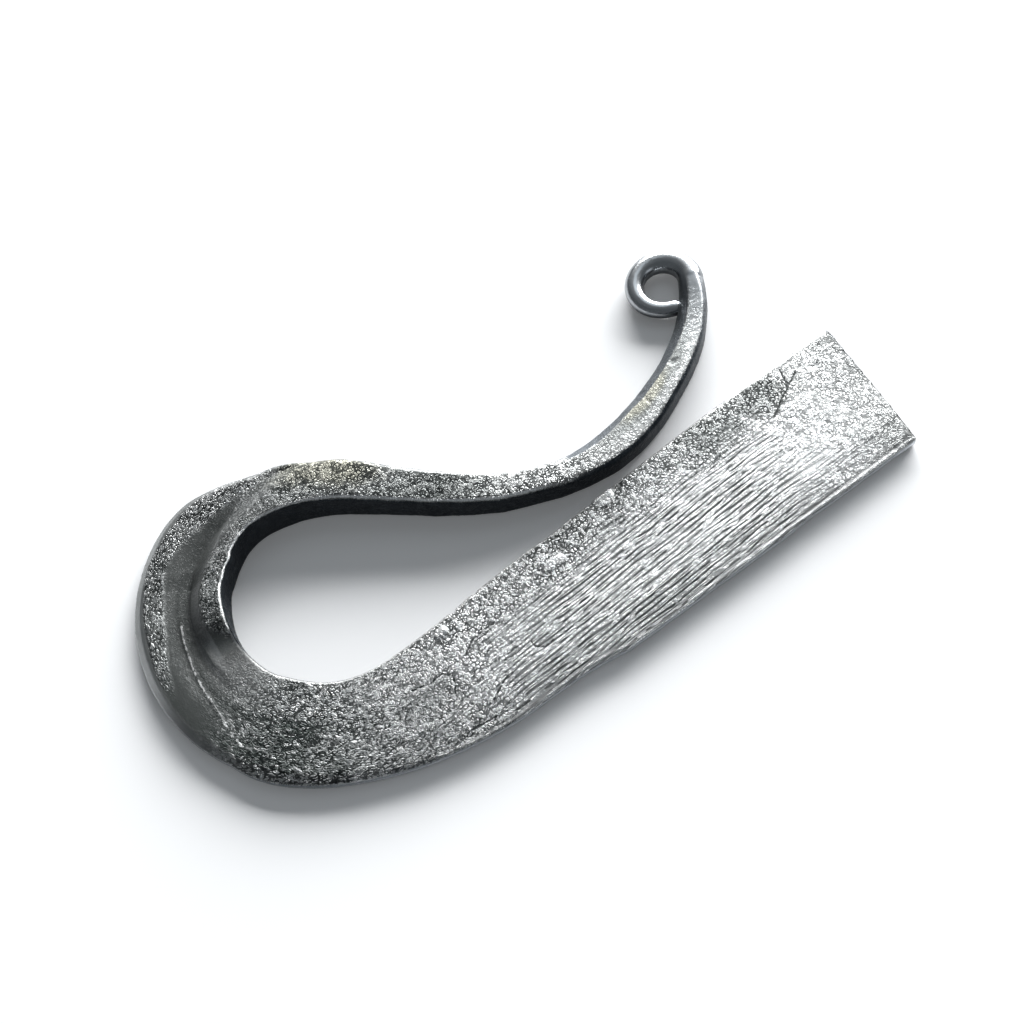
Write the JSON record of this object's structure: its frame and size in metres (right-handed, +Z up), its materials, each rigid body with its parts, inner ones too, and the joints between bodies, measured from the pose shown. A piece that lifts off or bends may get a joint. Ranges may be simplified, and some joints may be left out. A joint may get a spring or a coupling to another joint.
{
  "type": "fire steel",
  "caption": "Forged striker in one piece: a flat striking bar bends round into a raised, tapering tail that ends in a small round curl.",
  "frame": {"origin": "middle of the outline, on the flat underside", "axes": "+X along the striking bar towards its free end, +Y from the bar to the tail and curl, +Z up from the underside to the raised lip"},
  "size_m": [0.0924, 0.0506, 0.0052],
  "materials": {
    "forged_steel": "hand-forged carbon steel with hammer scale, bare and lightly wire-brushed"
  },
  "bodies": {
    "root": {"striker": "forged_steel"}
  },
  "joints": []
}
